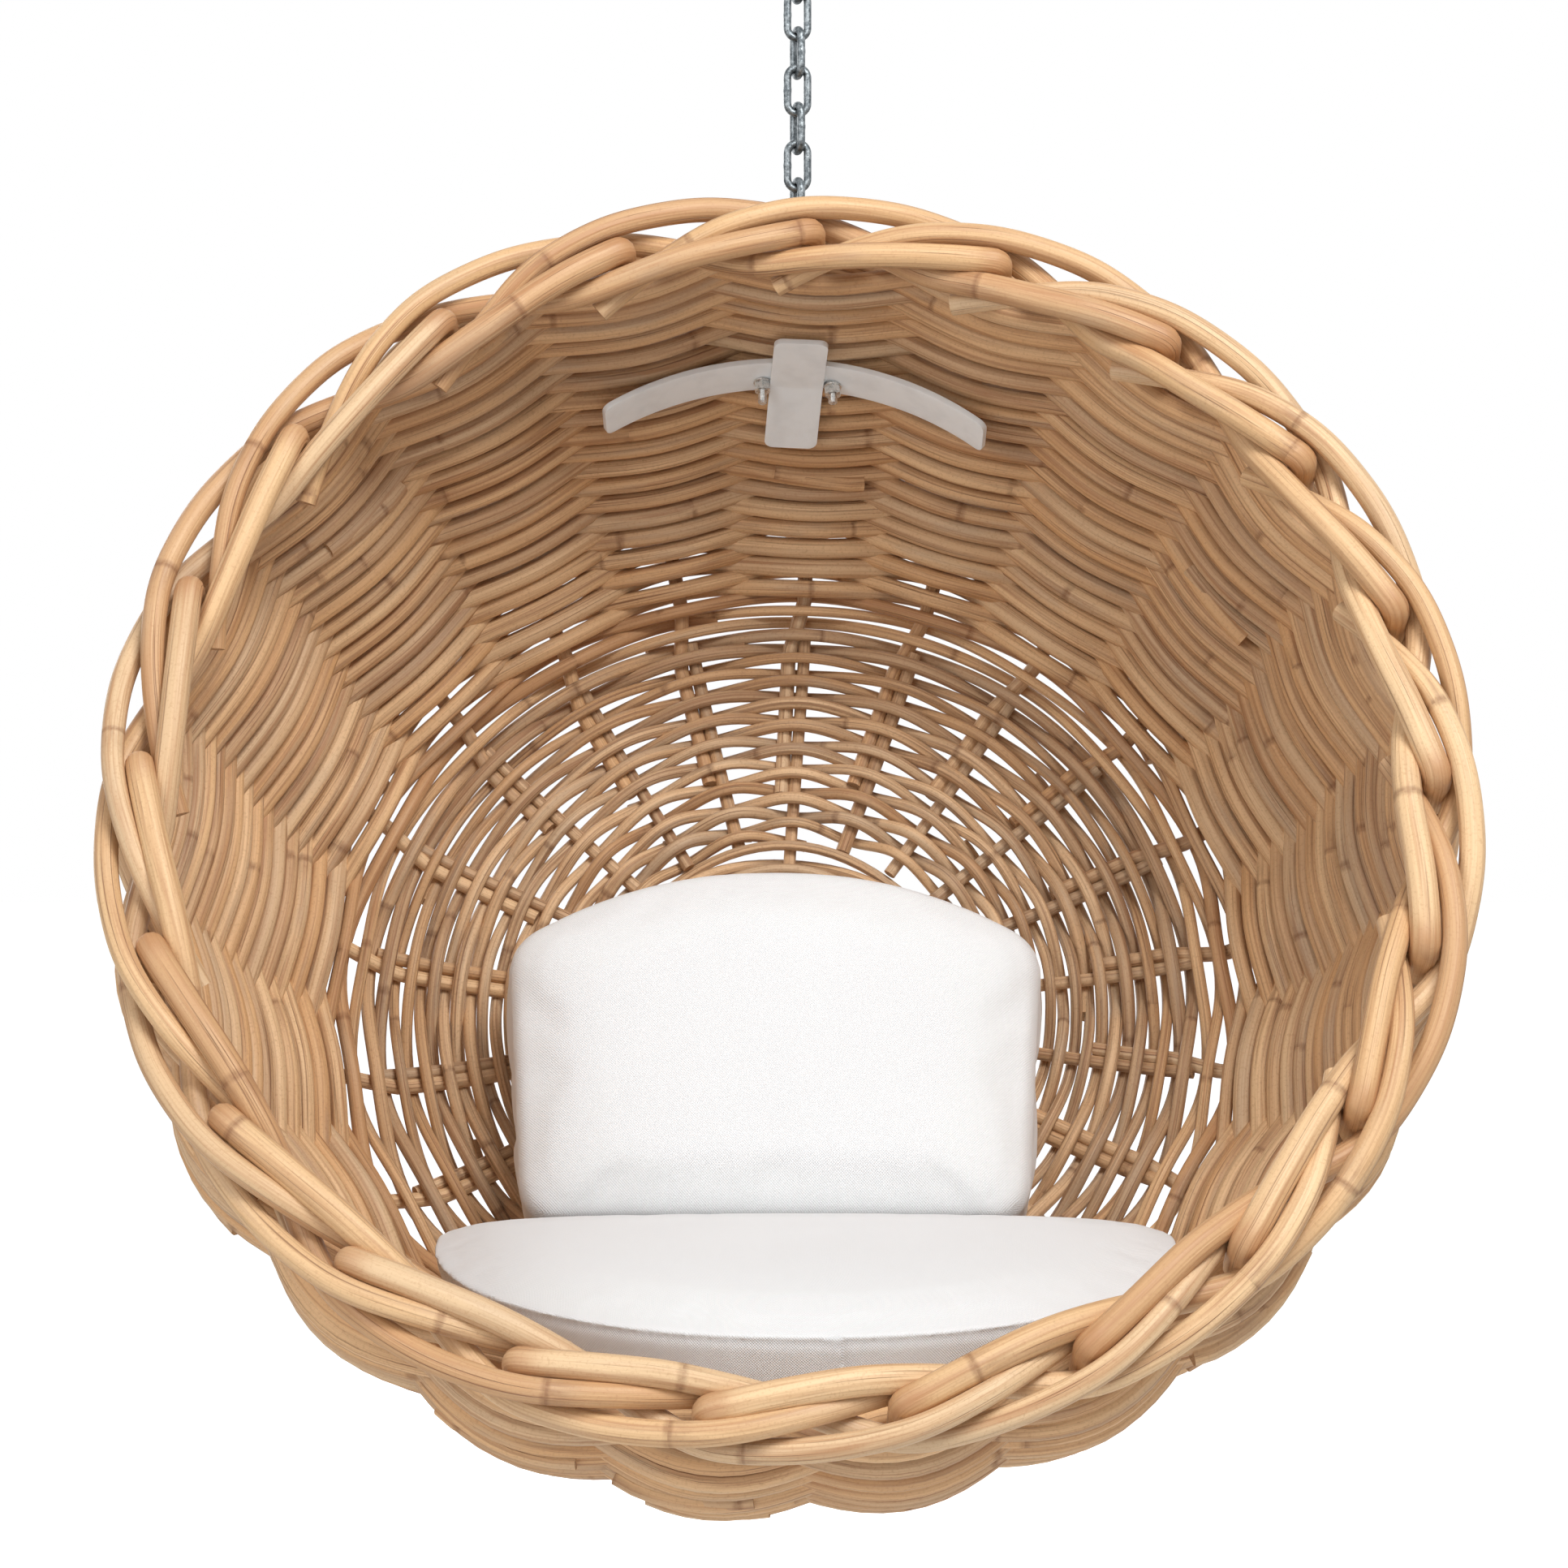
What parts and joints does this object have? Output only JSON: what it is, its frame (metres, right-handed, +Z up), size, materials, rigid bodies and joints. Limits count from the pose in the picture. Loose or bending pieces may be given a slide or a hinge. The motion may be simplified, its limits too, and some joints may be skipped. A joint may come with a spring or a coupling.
{
  "type": "hanging egg chair",
  "caption": "Deep round basket of woven thick rattan cane, lying on its side and hung by one steel chain, with a seat and a back cushion.",
  "frame": {"origin": "inner top of the first chain link, where a ceiling hook carries it", "axes": "+Z up along the chain, -Y the way the basket opens, +X to the right as seen from the front"},
  "size_m": [1.0807, 0.8464, 1.373],
  "materials": {
    "base_cane": "natural split rattan, matt",
    "wall_cane": "natural rattan cane, satin",
    "rim_cane": "natural rattan cane, light straw, satin",
    "galvanised": "zinc coated, mottled",
    "bolt_steel": "bright zinc",
    "grey_coat": "pale grey powder coat",
    "white_cover": "white woven cotton"
  },
  "bodies": {
    "link_01": {"chain_link_01": "galvanised"},
    "link_02": {"chain_link_02": "galvanised"},
    "link_03": {"chain_link_03": "galvanised"},
    "link_04": {"chain_link_04": "galvanised"},
    "link_05": {"chain_link_05": "galvanised"},
    "link_06": {"chain_link_06": "galvanised"},
    "link_07": {"chain_link_07": "galvanised"},
    "link_08": {"chain_link_08": "galvanised"},
    "link_09": {"chain_link_09": "galvanised"},
    "link_10": {"chain_link_10": "galvanised"},
    "basket": {"base_sticks": "base_cane", "base_weave_inner": "base_cane", "base_weave_middle": "base_cane", "base_weave_outer": "base_cane", "weave_corner": "wall_cane", "weave_wall_1": "wall_cane", "weave_wall_2": "wall_cane", "weave_wall_3": "wall_cane", "weave_wall_4": "wall_cane", "side_stakes": "wall_cane", "rim_border": "rim_cane", "u_bolt": "bolt_steel", "bracket_strap": "grey_coat", "bracket_plate": "grey_coat", "bolt_washers": "bolt_steel", "bolt_nuts": "bolt_steel"},
    "seat_pad": {"seat_cushion": "white_cover"},
    "back_pad": {"back_cushion": "white_cover"}
  },
  "joints": [
    {"name": "chain_link_01_to_02", "type": "hinge", "parent": "link_01", "child": "link_02", "pos_m": [0, 0, -0.0375], "axis": [1, 0, 0], "range_deg": [-15, 15]},
    {"name": "chain_link_02_to_03", "type": "hinge", "parent": "link_02", "child": "link_03", "pos_m": [0, 0, -0.0712], "axis": [0, 1, 0], "range_deg": [-15, 15]},
    {"name": "chain_link_03_to_04", "type": "hinge", "parent": "link_03", "child": "link_04", "pos_m": [0, 0, -0.1049], "axis": [1, 0, 0], "range_deg": [-15, 15]},
    {"name": "chain_link_04_to_05", "type": "hinge", "parent": "link_04", "child": "link_05", "pos_m": [0, 0, -0.1386], "axis": [0, 1, 0], "range_deg": [-15, 15]},
    {"name": "chain_link_05_to_06", "type": "hinge", "parent": "link_05", "child": "link_06", "pos_m": [0, 0, -0.1723], "axis": [1, 0, 0], "range_deg": [-15, 15]},
    {"name": "chain_link_06_to_07", "type": "hinge", "parent": "link_06", "child": "link_07", "pos_m": [0, 0, -0.206], "axis": [0, 1, 0], "range_deg": [-15, 15]},
    {"name": "chain_link_07_to_08", "type": "hinge", "parent": "link_07", "child": "link_08", "pos_m": [0, 0, -0.2397], "axis": [1, 0, 0], "range_deg": [-15, 15]},
    {"name": "chain_link_08_to_09", "type": "hinge", "parent": "link_08", "child": "link_09", "pos_m": [0, 0, -0.2734], "axis": [0, 1, 0], "range_deg": [-15, 15]},
    {"name": "chain_link_09_to_10", "type": "hinge", "parent": "link_09", "child": "link_10", "pos_m": [0, 0, -0.3071], "axis": [1, 0, 0], "range_deg": [-15, 15]},
    {"name": "bow_in_last_link", "type": "hinge", "parent": "link_10", "child": "basket", "pos_m": [0, 0, -0.333], "axis": [1, 0, 0], "range_deg": [-20, 20]},
    {"name": "seat_cushion_lift", "type": "slide", "parent": "basket", "child": "seat_pad", "axis": [0, -0.342, 0.9397], "range_m": [0, 0.25]},
    {"name": "back_cushion_lift", "type": "slide", "parent": "basket", "child": "back_pad", "axis": [0, 0.3746, 0.9272], "range_m": [0, 0.25]}
  ]
}
